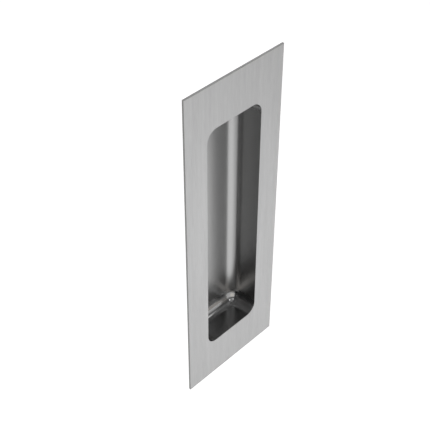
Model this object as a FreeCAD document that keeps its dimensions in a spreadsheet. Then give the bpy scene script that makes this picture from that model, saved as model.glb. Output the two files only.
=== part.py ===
import FreeCAD, Part
import math
import os
import Sketcher

# Pocket door pull: a brushed face plate that lies on the door, and a drawn finger cup that is let
# into the plate's opening and sinks into the door behind it.
# Frame: the door's face is the plane y = 0, -Y looks out of the door at the hand, +Z is up, and the
# origin is the middle of the plate's back.

doc = FreeCAD.newDocument("pocket_door_pull")

# Driving dimensions, in millimetres.
SIZES = (
    ("plate_height", 160.0, "face plate, top to bottom"),
    ("plate_width", 55.0, "face plate, side to side"),
    ("plate_thickness", 1.0, "sheet of the face plate"),
    ("mouth_height", 118.5, "clear opening for the fingers, top to bottom"),
    ("mouth_width", 31.0, "clear opening for the fingers, side to side"),
    ("recess_depth", 14.5, "from the plate's face to the inside of the cup's back"),
    ("punch_radius", 5.3, "inside radius of the cup's corners and of the bend to its back"),
    ("cup_wall", 1.0, "sheet of the cup"),
    ("edge_break", 0.2, "rounding of the edges that a hand can touch"),
)

sheet = doc.addObject("Spreadsheet::Sheet", "sizes")
for row, (alias, size, meaning) in enumerate(SIZES, start=1):
    sheet.set(f"A{row}", meaning)
    sheet.set(f"B{row}", str(size))
    sheet.setAlias(f"B{row}", alias)
doc.recompute()

# The cup's rim is the mouth grown by the cup's sheet, and the plate's opening is cut to the rim.
RIM_WIDTH = "sizes.mouth_width + 2 * sizes.cup_wall"
RIM_HEIGHT = "sizes.mouth_height + 2 * sizes.cup_wall"
RIM_CORNER = "sizes.punch_radius + sizes.cup_wall"

# Two points nearer than this, in millimetres, are one point.
SAME_PLACE = 1e-6

# Ends of a line or an arc, and the sketch's own origin, as constraints number them.
START = 1
END = 2
ORIGIN = (-1, 1)


def new_sketch(body, name):
    """A sketch on the body's own plane y = 0: its x is the part's X and its y is the part's Z."""
    sketch = body.newObject("Sketcher::SketchObject", name)
    door_face = next(plane for plane in body.Origin.OriginFeatures if plane.Role == "XZ_Plane")
    sketch.AttachmentSupport = [(door_face, "")]
    sketch.MapMode = "FlatFace"
    return sketch


def constrain(sketch, kind, *what):
    """Add one geometric constraint to a sketch."""
    sketch.addConstraint(Sketcher.Constraint(kind, *what))


def bind_size(sketch, name, expression, kind, *what):
    """Add one driving constraint to a sketch and tie it to an expression of the sheet's sizes."""
    size = float(sheet.evalExpression(expression))
    index = sketch.addConstraint(Sketcher.Constraint(kind, *what, size))
    sketch.renameConstraint(index, name)
    sketch.setExpression(f"Constraints.{name}", expression)


def add_sides(sketch, name, width, height, inset):
    """Four sides of a rectangle centred on the sketch's origin, in the order top, left, bottom, right.

    The width and height are expressions of the sheet's sizes. Each side stops short of the
    rectangle's corners by the inset, which leaves room there for a round corner.
    """
    x = float(sheet.evalExpression(width)) / 2
    y = float(sheet.evalExpression(height)) / 2
    ends = (
        ((x - inset, y), (inset - x, y)),
        ((-x, y - inset), (-x, inset - y)),
        ((inset - x, -y), (x - inset, -y)),
        ((x, inset - y), (x, y - inset)),
    )
    sides = [
        sketch.addGeometry(Part.LineSegment(FreeCAD.Vector(*start, 0), FreeCAD.Vector(*end, 0)))
        for start, end in ends
    ]
    top, left, bottom, right = sides
    constrain(sketch, "Horizontal", top)
    constrain(sketch, "Vertical", left)
    constrain(sketch, "Horizontal", bottom)
    constrain(sketch, "Vertical", right)
    constrain(sketch, "Symmetric", top, START, bottom, START, *ORIGIN)
    bind_size(sketch, f"{name}_width", width, "DistanceX", left, START, right, START)
    bind_size(sketch, f"{name}_height", height, "DistanceY", bottom, START, top, START)
    return sides


def add_rectangle(sketch, name, width, height):
    """A sharp-cornered rectangle centred on the sketch's origin."""
    sides = add_sides(sketch, name, width, height, inset=0)
    for side, following in zip(sides, sides[1:] + sides[:1]):
        constrain(sketch, "Coincident", side, END, following, START)


def add_round_rectangle(sketch, name, width, height, corner):
    """A rectangle centred on the sketch's origin, with a quarter circle at each corner."""
    radius = float(sheet.evalExpression(corner))
    sides = add_sides(sketch, name, width, height, inset=radius)
    quarter = math.pi / 2
    arcs = []
    for number, (side, following) in enumerate(zip(sides, sides[1:] + sides[:1]), start=1):
        leave = sketch.getPoint(side, END)
        meet = sketch.getPoint(following, START)
        upright = number % 2 == 0
        centre = FreeCAD.Vector(meet.x, leave.y, 0) if upright else FreeCAD.Vector(leave.x, meet.y, 0)
        circle = Part.Circle(centre, FreeCAD.Vector(0, 0, 1), radius)
        arc = sketch.addGeometry(Part.ArcOfCircle(circle, number * quarter, (number + 1) * quarter))
        constrain(sketch, "Tangent", side, END, arc, START)
        constrain(sketch, "Tangent", arc, END, following, START)
        arcs.append(arc)
    for arc in arcs[1:]:
        constrain(sketch, "Equal", arcs[0], arc)
    bind_size(sketch, f"{name}_corner", corner, "Radius", arcs[0])


def face_name(feature, y):
    """Name of the feature's flat face that lies across the part at this y."""
    faces = enumerate(feature.Shape.Faces, start=1)
    number = next(number for number, face in faces if abs(face.CenterOfMass.y - y) < SAME_PLACE)
    return f"Face{number}"


def face_edges(feature, y, outer=True):
    """Names of the edges round the feature's flat face at this y: its outline, or else its hole."""
    face = feature.Shape.getElement(face_name(feature, y))
    outline = face.OuterWire
    chosen = [edge for wire in face.Wires if wire.isSame(outline) == outer for edge in wire.Edges]
    edges = enumerate(feature.Shape.Edges, start=1)
    return [f"Edge{number}" for number, edge in edges if any(edge.isSame(one) for one in chosen)]


# Face plate: flat sheet, cut to a sharp-cornered rectangle with an opening for the cup's rim. It lies
# on the door's face, so it is padded from y = 0 out to the hand.
face_plate = doc.addObject("PartDesign::Body", "face_plate")
face_plate.Label = "face_plate"

plate_outline = new_sketch(face_plate, "plate_outline")
add_rectangle(plate_outline, "plate", "sizes.plate_width", "sizes.plate_height")
add_round_rectangle(plate_outline, "opening", RIM_WIDTH, RIM_HEIGHT, RIM_CORNER)

plate_sheet = face_plate.newObject("PartDesign::Pad", "plate_sheet")
plate_sheet.Profile = plate_outline
plate_sheet.setExpression("Length", "sizes.plate_thickness")
doc.recompute()

# The four outer edges of the face are broken, so that the plate isn't sharp to the hand.
face_y = -sheet.plate_thickness
plate_edges = face_plate.newObject("PartDesign::Fillet", "plate_edges")
plate_edges.Base = (plate_sheet, face_edges(plate_sheet, face_y))
plate_edges.setExpression("Radius", "sizes.edge_break")

# Recess cup: sheet drawn over a punch that has one radius on all its edges, so the cup's corners are
# parts of a sphere. The outside is a block with the rim's outline, the inside a pocket with the mouth's,
# and their bends differ by the sheet's thickness, so that inside and outside share their centres.
recess_cup = doc.addObject("PartDesign::Body", "recess_cup")
recess_cup.Label = "recess_cup"

rim_outline = new_sketch(recess_cup, "rim_outline")
rim_outline.setExpression("AttachmentOffset.Base.z", "sizes.plate_thickness")
add_round_rectangle(rim_outline, "rim", RIM_WIDTH, RIM_HEIGHT, RIM_CORNER)

cup_block = recess_cup.newObject("PartDesign::Pad", "cup_block")
cup_block.Profile = rim_outline
cup_block.Reversed = True
cup_block.setExpression("Length", "sizes.recess_depth + sizes.cup_wall")
doc.recompute()

mouth_outline = new_sketch(recess_cup, "mouth_outline")
mouth_outline.setExpression("AttachmentOffset.Base.z", "sizes.plate_thickness")
add_round_rectangle(
    mouth_outline, "mouth", "sizes.mouth_width", "sizes.mouth_height", "sizes.punch_radius"
)

cup_hollow = recess_cup.newObject("PartDesign::Pocket", "cup_hollow")
cup_hollow.Profile = mouth_outline
cup_hollow.setExpression("Length", "sizes.recess_depth")
doc.recompute()

inside_y = face_y + sheet.recess_depth
inner_bend = recess_cup.newObject("PartDesign::Fillet", "inner_bend")
inner_bend.Base = (cup_hollow, face_edges(cup_hollow, inside_y))
inner_bend.setExpression("Radius", "sizes.punch_radius")
doc.recompute()

back_y = inside_y + sheet.cup_wall
outer_bend = recess_cup.newObject("PartDesign::Fillet", "outer_bend")
outer_bend.Base = (inner_bend, face_edges(inner_bend, back_y))
outer_bend.setExpression("Radius", RIM_CORNER)
doc.recompute()

# The mouth's edge, where the fingers pull, is broken all round.
cup_lip = recess_cup.newObject("PartDesign::Fillet", "cup_lip")
cup_lip.Base = (outer_bend, face_edges(outer_bend, face_y, outer=False))
cup_lip.setExpression("Radius", "sizes.edge_break")
doc.recompute()

for item in doc.Objects:
    if "Invalid" in item.State or "Error" in item.State:
        raise RuntimeError(f"{item.Label} did not build: {item.State}")
for body in (face_plate, recess_cup):
    if body.Shape.isNull() or not body.Shape.isValid():
        raise RuntimeError(f"{body.Label} has no valid shape")

os.makedirs("parts", exist_ok=True)
for body in (face_plate, recess_cup):
    body.Shape.exportStep(os.path.join("parts", f"{body.Label}.step"))
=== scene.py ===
import math

import bpy
import numpy as np
from mathutils import Matrix, Vector


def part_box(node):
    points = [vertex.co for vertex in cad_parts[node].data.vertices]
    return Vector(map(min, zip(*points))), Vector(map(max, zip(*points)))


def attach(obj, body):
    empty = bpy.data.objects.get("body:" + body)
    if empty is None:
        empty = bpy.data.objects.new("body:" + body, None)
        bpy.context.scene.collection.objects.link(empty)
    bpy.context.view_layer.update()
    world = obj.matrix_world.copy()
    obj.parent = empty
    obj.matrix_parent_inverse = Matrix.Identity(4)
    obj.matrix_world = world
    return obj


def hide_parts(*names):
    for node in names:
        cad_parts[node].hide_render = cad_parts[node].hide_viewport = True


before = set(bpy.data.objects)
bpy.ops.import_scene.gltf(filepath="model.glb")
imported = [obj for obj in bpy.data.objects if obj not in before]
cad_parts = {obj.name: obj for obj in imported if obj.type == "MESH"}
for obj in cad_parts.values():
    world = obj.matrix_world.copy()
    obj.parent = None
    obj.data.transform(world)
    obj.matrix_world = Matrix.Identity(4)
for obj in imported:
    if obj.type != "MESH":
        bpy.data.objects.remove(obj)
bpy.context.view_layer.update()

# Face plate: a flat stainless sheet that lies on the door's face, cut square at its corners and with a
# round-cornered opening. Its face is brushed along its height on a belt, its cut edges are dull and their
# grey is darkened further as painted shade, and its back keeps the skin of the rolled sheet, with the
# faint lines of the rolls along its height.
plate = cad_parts["face_plate"]
face_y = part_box("face_plate")[0].y
back_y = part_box("face_plate")[1].y
brushed_grey = (0.398, 0.398, 0.4, 1.0)
brushed_roughness = 0.48
brushed_anisotropy = 0.8
scratch = (0.00025, 0.00025, 0.006)
scratch_contrast = 0.24
# The cut edges' grey is partly their own dull cut finish and partly painted shade, darker than the bare
# cut steel.
cut_grey_with_painted_shade = (0.25, 0.25, 0.248, 1.0)
cut_roughness = 0.46
cut_speck = (0.0003, 0.0003, 0.0003)
cut_contrast = 0.12
rolled_grey = (0.37, 0.37, 0.367, 1.0)
rolled_roughness = 0.36
roll_line = (0.0012, 0.0012, 0.08)
roll_contrast = 0.1
plate_relief = 0.000003
skin_depth = 0.00004
edge_depth = 0.00016


def add_node(tree, kind, **settings):
    """Add a node to a tree and set its properties by name."""
    node = tree.nodes.new(kind)
    for name, value in settings.items():
        setattr(node, name, value)
    return node


def feed(tree, socket, term):
    """Give a socket its value: another socket is linked to it, and a number or colour is set on it."""
    if isinstance(term, bpy.types.NodeSocket):
        tree.links.new(term, socket)
    else:
        socket.default_value = term


def feed_all(tree, node, terms):
    """Feed the terms to the node's live inputs in their order. Returns the node's live output."""
    live = [socket for socket in node.inputs if socket.enabled]
    for socket, term in zip(live, terms):
        feed(tree, socket, term)
    return next(socket for socket in node.outputs if socket.enabled)


def add_math(tree, operation, *terms):
    """Result of a Math node on these terms."""
    return feed_all(tree, add_node(tree, "ShaderNodeMath", operation=operation), terms)


def add_mask(tree, value, start, end):
    """A mask that rises evenly from 0, where the value is at the start, to 1, where it is at the end."""
    return feed_all(tree, add_node(tree, "ShaderNodeMapRange"), (value, start, end, 0.0, 1.0))


def add_blend(tree, mask, below, above):
    """A value that goes from the one below to the one above as the mask goes from 0 to 1."""
    return feed_all(tree, add_node(tree, "ShaderNodeMix", data_type="FLOAT"), (mask, below, above))


def add_tint(tree, mask, below, above, blend_type="MIX"):
    """A colour that goes from the one below to the one above as the mask goes from 0 to 1."""
    node = add_node(tree, "ShaderNodeMix", data_type="RGBA", blend_type=blend_type)
    return feed_all(tree, node, (mask, below, above))


def object_place(tree):
    """The X, Y and Z of the point that is shaded, in the part's own frame."""
    place = add_node(tree, "ShaderNodeTexCoord")
    split = add_node(tree, "ShaderNodeSeparateXYZ")
    tree.links.new(place.outputs["Object"], split.inputs[0])
    return split.outputs


def cell_noise(tree, cells, coarser):
    """Noise from 0 to 1 whose cells have these sizes along X, Y and Z, times a number.

    Each coordinate is divided by the cell's size along it, so that a cell of the noise, which is one
    unit wide, becomes one scratch, speck or line.
    """
    joined = add_node(tree, "ShaderNodeCombineXYZ")
    for coordinate, cell, socket in zip(object_place(tree), cells, joined.inputs):
        size = add_math(tree, "MULTIPLY", cell, coarser)
        tree.links.new(add_math(tree, "DIVIDE", coordinate, size), socket)
    noise = add_node(tree, "ShaderNodeTexNoise")
    noise.inputs["Scale"].default_value = 1.0
    tree.links.new(joined.outputs[0], noise.inputs["Vector"])
    return noise.outputs[0]


# Marks that tools leave in steel: fine ones of a given size, and faint broad ones where they bit deeper.
# The shade swings about 1 by the contrast, and the height is that of the fine marks.
coarse_marks = 7.0
coarse_share = 0.8
middle_of_both = 0.5 * (1.0 + coarse_share)
tool_marks = bpy.data.node_groups.new("tool_marks", "ShaderNodeTree")
for label in ("Size X", "Size Y", "Size Z", "Contrast"):
    tool_marks.interface.new_socket(label, in_out="INPUT", socket_type="NodeSocketFloat")
for label in ("Shade", "Height"):
    tool_marks.interface.new_socket(label, in_out="OUTPUT", socket_type="NodeSocketFloat")
given = add_node(tool_marks, "NodeGroupInput").outputs
marked = add_node(tool_marks, "NodeGroupOutput").inputs
mark_size = (given["Size X"], given["Size Y"], given["Size Z"])
fine = cell_noise(tool_marks, mark_size, 1.0)
coarse = cell_noise(tool_marks, mark_size, coarse_marks)
both = add_math(tool_marks, "MULTIPLY_ADD", coarse, coarse_share, fine)
swing = add_math(tool_marks, "SUBTRACT", both, middle_of_both)
feed(tool_marks, marked["Shade"], add_math(tool_marks, "MULTIPLY_ADD", swing, given["Contrast"], 1.0))
feed(tool_marks, marked["Height"], fine)


def marked_grey(tree, grey, size, contrast):
    """A grey with tool marks of this size in it. Returns its colour, its shade and its height."""
    node = add_node(tree, "ShaderNodeGroup", node_tree=tool_marks)
    feed_all(tree, node, (*size, contrast))
    colour = add_tint(tree, 1.0, grey, node.outputs["Shade"], "MULTIPLY")
    return colour, node.outputs["Shade"], node.outputs["Height"]


def steel(name, anisotropy=0.0):
    """A metal material. Returns it, its node tree and its shader's inputs."""
    material = bpy.data.materials.new(name)
    material.use_nodes = True
    shader = material.node_tree.nodes["Principled BSDF"].inputs
    shader["Metallic"].default_value = 1.0
    shader["Anisotropic"].default_value = anisotropy
    return material, material.node_tree, shader


def dress(tree, shader, colour, roughness, height, relief):
    """Give a shader its colour, its roughness and a relief, which is how deep the marks are in metres."""
    bump = add_node(tree, "ShaderNodeBump")
    bump.inputs["Distance"].default_value = relief
    feed(tree, bump.inputs["Height"], height)
    feed(tree, shader["Base Color"], colour)
    feed(tree, shader["Roughness"], roughness)
    feed(tree, shader["Normal"], bump.outputs["Normal"])


brushed_steel, tree, shader = steel("brushed_steel", brushed_anisotropy)
depth = object_place(tree)["Y"]
on_face = add_mask(tree, depth, face_y + edge_depth, face_y + skin_depth)
on_back = add_mask(tree, depth, back_y - skin_depth, back_y)
face_colour, _, face_height = marked_grey(tree, brushed_grey, scratch, scratch_contrast)
edge_colour_with_painted_shade, _, edge_height = marked_grey(tree, cut_grey_with_painted_shade, cut_speck, cut_contrast)
back_colour, _, back_height = marked_grey(tree, rolled_grey, roll_line, roll_contrast)
# The cut edges take the darker grey, with its painted shade, and the face takes the brushed grey.
colour = add_tint(tree, on_face, edge_colour_with_painted_shade, face_colour)
colour = add_tint(tree, on_back, colour, back_colour)
roughness = add_blend(tree, on_face, cut_roughness, brushed_roughness)
roughness = add_blend(tree, on_back, roughness, rolled_roughness)
height = add_blend(tree, on_face, edge_height, face_height)
height = add_blend(tree, on_back, height, back_height)
dress(tree, shader, colour, roughness, height, plate_relief)
plate.material_slots[0].material = brushed_steel

# Recess cup: stainless sheet drawn over a punch into a finger recess with round bends and corners. Its
# inside is smooth and bright, and its rim is welded into the plate's opening and brushed with the face.
# Its outer walls slid through the die, which left faint lines on them, and its back keeps the rolled skin.
cup_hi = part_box("recess_cup")[1]
cup_wall = 0.001
punch_radius = 0.0053
lip_break = 0.0002
rim_reach = punch_radius + cup_wall
bend_y = cup_hi.y - rim_reach
core_x = cup_hi.x - rim_reach
core_z = cup_hi.z - rim_reach
bend_steps = 24
lip_steps = 6
quarter_turn = 0.5 * math.pi
place_digits = 9
drawn_grey = (0.29, 0.29, 0.29, 1.0)
drawn_roughness = 0.28
drawn_speck = (0.0006, 0.0006, 0.0006)
drawn_contrast = 0.05
drawn_relief = 0.0000005
burnished_roughness = 0.15
burnish_depth = 0.001
die_grey = (0.35, 0.35, 0.347, 1.0)
die_roughness = 0.36
die_line = (0.0004, 0.012, 0.0004)
die_contrast = 0.14
die_relief = 0.000002


def carried_profile(name, strips, half_x, half_z, steps):
    """Closed shell: a profile carried round a rectangle, and turned about each of its corners.

    The path stands on a corner of the core rectangle while its plan normal turns a right angle in equal
    steps, then goes on to the next corner. A point of the shell is the path's point plus the profile's
    reach times the plan normal, at the profile's depth. Each strip of the profile has its slot, its
    reach and depth, and the two parts of its normal, so that flats stay flat and bends stay round in
    reflections. Points that fall together become one, and the two ends are closed by a flat face each.
    """
    corners = np.array([(1, 1), (-1, 1), (-1, -1), (1, -1)]) * (half_x, half_z)
    sides = np.arange(len(corners))[:, None]
    turn = (sides + np.linspace(0.0, 1.0, steps + 1)).ravel() * quarter_turn
    plan = np.stack([np.cos(turn), np.sin(turn)], axis=-1)
    path = np.repeat(corners, steps + 1, axis=0)
    ring = len(path)
    here = np.arange(ring)
    after = (here + 1) % ring

    def in_space(plane, deep):
        """Join the two plan coordinates of every row and column with the depth of its row."""
        deep = np.broadcast_to(deep[:, None], plane.shape[:2])
        return np.stack([plane[..., 0], deep, plane[..., 1]], axis=-1).reshape(-1, 3)

    points, faces, normals, slots = [], [], [], []
    for slot, reach, deep, lean_out, lean_deep in strips:
        near = np.arange(len(reach) - 1)[:, None] * ring
        far = near + ring
        quad = np.stack([near + here, far + here, far + after, near + after], axis=-1).reshape(-1, 4)
        faces.append(quad + sum(map(len, points)))
        reach = np.round(reach, place_digits)[:, None, None]
        points.append(in_space(path + reach * plan, np.round(deep, place_digits)))
        normals.append(in_space(lean_out[:, None, None] * plan, lean_deep)[quad])
        slots.append(np.full(len(quad), slot))
    merged, number = np.unique(np.concatenate(points), axis=0, return_inverse=True)
    number = number.ravel()
    faces, normals, slots = number[np.concatenate(faces)], np.concatenate(normals), np.concatenate(slots)
    pinched_first = faces[:, 0] == faces[:, 3]
    pinched_last = faces[:, 1] == faces[:, 2]
    whole = ~(pinched_first | pinched_last)
    caps = np.stack([number[: ring : steps + 1], number[-ring :: steps + 1][::-1]])
    cap_normals = np.repeat([[[0.0, -1.0, 0.0]], [[0.0, 1.0, 0.0]]], len(corners), axis=1)
    blocks = (
        (faces[whole], normals[whole], slots[whole]),
        (faces[pinched_first][:, :3], normals[pinched_first][:, :3], slots[pinched_first]),
        (faces[pinched_last][:, [0, 1, 3]], normals[pinched_last][:, [0, 1, 3]], slots[pinched_last]),
        (caps, cap_normals, np.array([strips[0][0], strips[-1][0]])),
    )
    mesh = bpy.data.meshes.new(name)
    outlines = [outline for block in blocks for outline in block[0].tolist()]
    mesh.from_pydata(merged.tolist(), [], outlines, shade_flat=False)
    mesh.polygons.foreach_set("material_index", np.concatenate([block[2] for block in blocks]))
    mesh.normals_split_custom_set(np.concatenate([block[1].reshape(-1, 3) for block in blocks]))
    piece = bpy.data.objects.new(name, mesh)
    bpy.context.scene.collection.objects.link(piece)
    return piece


bend = np.linspace(0.0, quarter_turn, bend_steps + 1)
bend_out = bend[::-1]
lip = np.linspace(0.0, quarter_turn, lip_steps + 1)
even = np.ones(2)
inside, rim, outside = range(3)
inside_bend = (
    inside,
    punch_radius * np.sin(bend),
    bend_y + punch_radius * np.cos(bend),
    -np.sin(bend),
    -np.cos(bend),
)
inside_wall = (inside, punch_radius * even, np.array([bend_y, face_y + lip_break]), -even, 0.0 * even)
rounded_lip = (
    rim,
    punch_radius + lip_break * (1.0 - np.cos(lip)),
    face_y + lip_break * (1.0 - np.sin(lip)),
    -np.cos(lip),
    -np.sin(lip),
)
rim_face = (rim, np.array([punch_radius + lip_break, rim_reach]), face_y * even, 0.0 * even, -even)
outside_wall = (outside, rim_reach * even, np.array([face_y, bend_y]), even, 0.0 * even)
outside_bend = (
    outside,
    rim_reach * np.sin(bend_out),
    bend_y + rim_reach * np.cos(bend_out),
    np.sin(bend_out),
    np.cos(bend_out),
)
cup_profile = (inside_bend, inside_wall, rounded_lip, rim_face, outside_wall, outside_bend)
cup = carried_profile("finger_cup", cup_profile, core_x, core_z, bend_steps)

# The punch's ends press hardest, so the sheet is burnished in the bends there, and less and less along
# the end walls, up to the rim.
drawn_steel, tree, shader = steel("drawn_steel")
colour, shade, height = marked_grey(tree, drawn_grey, drawn_speck, drawn_contrast)
from_middle = add_math(tree, "ABSOLUTE", object_place(tree)["Z"])
at_end = add_mask(tree, from_middle, core_z - burnish_depth, core_z)
from_rim = add_mask(tree, object_place(tree)["Y"], face_y, bend_y)
pressed = add_math(tree, "MULTIPLY", at_end, from_rim)
sheen = add_blend(tree, pressed, drawn_roughness, burnished_roughness)
dress(tree, shader, colour, add_math(tree, "MULTIPLY", shade, sheen), height, drawn_relief)

# The lines of the die fade out round the outer bend, where the rolled skin of the flat back begins.
die_side_steel, tree, shader = steel("die_side_steel")
on_bottom = add_mask(tree, object_place(tree)["Y"], bend_y, cup_hi.y)
side_colour, side_shade, side_height = marked_grey(tree, die_grey, die_line, die_contrast)
back_colour, back_shade, back_height = marked_grey(tree, rolled_grey, roll_line, roll_contrast)
colour = add_tint(tree, on_bottom, side_colour, back_colour)
shade = add_blend(tree, on_bottom, side_shade, back_shade)
height = add_blend(tree, on_bottom, side_height, back_height)
dress(tree, shader, colour, add_math(tree, "MULTIPLY", shade, die_roughness), height, die_relief)

for material in (drawn_steel, brushed_steel, die_side_steel):
    cup.data.materials.append(material)
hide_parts("recess_cup")
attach(cup, "root")

# Floor: pale matt studio paper, laid flat below the pull and swept up all round into a low wall. It also
# glows where it is looked at or mirrored, so that it reads as white, and it keeps the pull's shadow.
floor_drop = 0.5
floor_radius = 2.0
pole_radius = 0.001
sweep_radius = 0.8
wall_height = 1.6
sweep_steps = 12
turn_steps = 64
paper_white = 0.8
paper_glow = 0.6


def revolved(name, radius, height, steps):
    """Surface of revolution about the vertical axis: each point of the profile, at its radius and
    height, is carried round a full turn in equal steps."""
    turn = np.linspace(0.0, 2.0 * math.pi, steps, endpoint=False)
    ring = np.arange(steps)
    x = np.outer(radius, np.cos(turn))
    y = np.outer(radius, np.sin(turn))
    z = np.outer(height, np.ones(steps))
    row = np.arange(len(radius) - 1)[:, None] * steps
    after = (ring + 1) % steps
    faces = np.stack([row + ring, row + after, row + after + steps, row + ring + steps], axis=-1)
    mesh = bpy.data.meshes.new(name)
    points = np.stack([x, y, z], axis=-1).reshape(-1, 3)
    mesh.from_pydata(points.tolist(), [], faces.reshape(-1, 4).tolist(), shade_flat=False)
    piece = bpy.data.objects.new(name, mesh)
    bpy.context.scene.collection.objects.link(piece)
    return piece


sweep = np.linspace(0.0, quarter_turn, sweep_steps + 1)
outer_radius = floor_radius + sweep_radius
paper_radius = np.concatenate([[pole_radius], floor_radius + sweep_radius * np.sin(sweep), [outer_radius]])
paper_height = np.concatenate([[0.0], sweep_radius * (1.0 - np.cos(sweep)), [wall_height]]) - floor_drop
floor = revolved("floor", paper_radius, paper_height, turn_steps)
paper = bpy.data.materials.new("seamless_paper")
paper.use_nodes = True
tree = paper.node_tree
tree.nodes.clear()
matt = add_node(tree, "ShaderNodeBsdfDiffuse")
matt.inputs["Color"].default_value = (paper_white, paper_white, paper_white, 1.0)
glow = add_node(tree, "ShaderNodeEmission")
rays = add_node(tree, "ShaderNodeLightPath").outputs
seen = add_math(tree, "MAXIMUM", rays["Is Camera Ray"], rays["Is Glossy Ray"])
seen = add_math(tree, "MAXIMUM", seen, rays["Is Transmission Ray"])
feed(tree, glow.inputs["Strength"], add_math(tree, "MULTIPLY", seen, paper_glow))
lit_paper = feed_all(tree, add_node(tree, "ShaderNodeAddShader"), (matt.outputs[0], glow.outputs[0]))
feed(tree, add_node(tree, "ShaderNodeOutputMaterial").inputs["Surface"], lit_paper)
floor.data.materials.append(paper)

# Studio light: a white-walled room with a grey ceiling, a light panel that lies on the floor in front of
# the pull, a warm soft box on its left and two strip lights overhead. A white card behind lights the
# plate's upper edge, and a grey and a black card stand to the right. All are seen in reflections.
white_light = (1.0, 1.0, 1.0, 1.0)
warm_light = (1.0, 0.95, 0.9, 1.0)
no_light = 0.0
# Brightness of the room by elevation in degrees.
room_levels = ((0.0, 1.0), (31.0, 1.0), (37.0, 0.25), (43.0, 0.25), (48.0, 0.55), (90.0, 0.5))
panel_lift = 0.02
panel_z = panel_lift - floor_drop
panel_left, panel_right = -0.43, 0.52
panel_far, panel_near = -0.94, -0.36
panel_strength = 1.825
black_x = 0.45
black_front, black_back = -0.16, 0.1
black_low, black_high = -0.48, 0.8
# Cards that face the pull: azimuth and elevation in degrees, distance, width, height, light, strength.
facing_cards = {
    "soft_box": (-42.0, 12.0, 0.8, 0.52, 0.48, warm_light, 1.55),
    "grey_card": (30.0, -1.0, 0.8, 0.4, 0.36, warm_light, 0.78),
    "right_strip": (30.0, 55.5, 0.8, 0.58, 0.15, white_light, 2.3),
    "left_strip": (-62.0, 54.0, 0.8, 0.2, 0.13, white_light, 2.6),
    "edge_card": (134.0, 40.0, 0.9, 0.7, 0.6, white_light, 1.75),
}
room = bpy.data.worlds.new("room")
room.use_nodes = True
tree = room.node_tree
direction = add_node(tree, "ShaderNodeTexCoord")
upward = add_node(tree, "ShaderNodeSeparateXYZ")
tree.links.new(direction.outputs["Generated"], upward.inputs[0])
levels = add_node(tree, "ShaderNodeValToRGB")
feed(tree, levels.inputs["Fac"], upward.outputs["Z"])
stops = levels.color_ramp.elements
for angle, _ in room_levels[1:-1]:
    stops.new(math.sin(math.radians(angle)))
for stop, (_, level) in zip(stops, room_levels):
    stop.color = (level, level, level, 1.0)
feed(tree, tree.nodes["Background"].inputs["Color"], levels.outputs["Color"])
bpy.context.scene.world = room


def flat_card(name, corners, light, strength):
    """A flat four-cornered card that glows evenly; one with a strength of 0 is black and casts nothing."""
    mesh = bpy.data.meshes.new(name)
    mesh.from_pydata(corners, [], [(0, 1, 2, 3)])
    card = bpy.data.objects.new(name, mesh)
    bpy.context.scene.collection.objects.link(card)
    material = bpy.data.materials.new(name)
    material.use_nodes = True
    tree = material.node_tree
    tree.nodes.clear()
    lamp = add_node(tree, "ShaderNodeEmission")
    lamp.inputs["Color"].default_value = light
    lamp.inputs["Strength"].default_value = strength
    feed(tree, add_node(tree, "ShaderNodeOutputMaterial").inputs["Surface"], lamp.outputs[0])
    mesh.materials.append(material)
    card.visible_camera = False
    card.visible_shadow = False
    card.visible_diffuse = strength > no_light


def facing_corners(azimuth, elevation, distance, width, height):
    """Corners of a rectangle that stands in this direction from the origin and faces it squarely."""
    turn, tilt = math.radians(azimuth), math.radians(elevation)
    ahead = Vector((math.sin(turn) * math.cos(tilt), -math.cos(turn) * math.cos(tilt), math.sin(tilt)))
    side = Vector((math.cos(turn), math.sin(turn), 0.0))
    rise = ahead.cross(side)
    halves = ((-0.5, -0.5), (0.5, -0.5), (0.5, 0.5), (-0.5, 0.5))
    return [tuple(ahead * distance + side * width * i + rise * height * j) for i, j in halves]


panel_corners = [
    (panel_left, panel_far, panel_z),
    (panel_right, panel_far, panel_z),
    (panel_right, panel_near, panel_z),
    (panel_left, panel_near, panel_z),
]
black_corners = [
    (black_x, black_front, black_low),
    (black_x, black_back, black_low),
    (black_x, black_back, black_high),
    (black_x, black_front, black_high),
]
flat_card("light_panel", panel_corners, white_light, panel_strength)
flat_card("black_card", black_corners, white_light, no_light)
for name, (*stand, light, strength) in facing_cards.items():
    flat_card(name, facing_corners(*stand), light, strength)

# Camera: at the photograph's angle, above and to the left of the pull. Its place, aim and lens were worked
# out from the outlines of the plate and of the opening.
view_azimuth = math.radians(-46.2735)
view_elevation = math.radians(40.7505)
view_distance = 0.4208328
aim_right = -0.0078217
aim_up = 0.0070527
lens_mm = 83.093
near_clip = 0.01
back = Vector((
    math.sin(view_azimuth) * math.cos(view_elevation),
    -math.cos(view_azimuth) * math.cos(view_elevation),
    math.sin(view_elevation),
))
right = Vector((math.cos(view_azimuth), math.sin(view_azimuth), 0.0))
up = back.cross(right)
camera_data = bpy.data.cameras.new("camera")
camera_data.lens = lens_mm
camera_data.clip_start = near_clip
camera = bpy.data.objects.new("camera", camera_data)
place = Vector((0.0, face_y, 0.0)) + back * view_distance + right * aim_right + up * aim_up
axes = Matrix((right, up, back)).transposed().to_4x4()
camera.matrix_world = Matrix.Translation(place) @ axes
bpy.context.scene.collection.objects.link(camera)
bpy.context.scene.camera = camera
bpy.context.scene.view_settings.view_transform = "Standard"
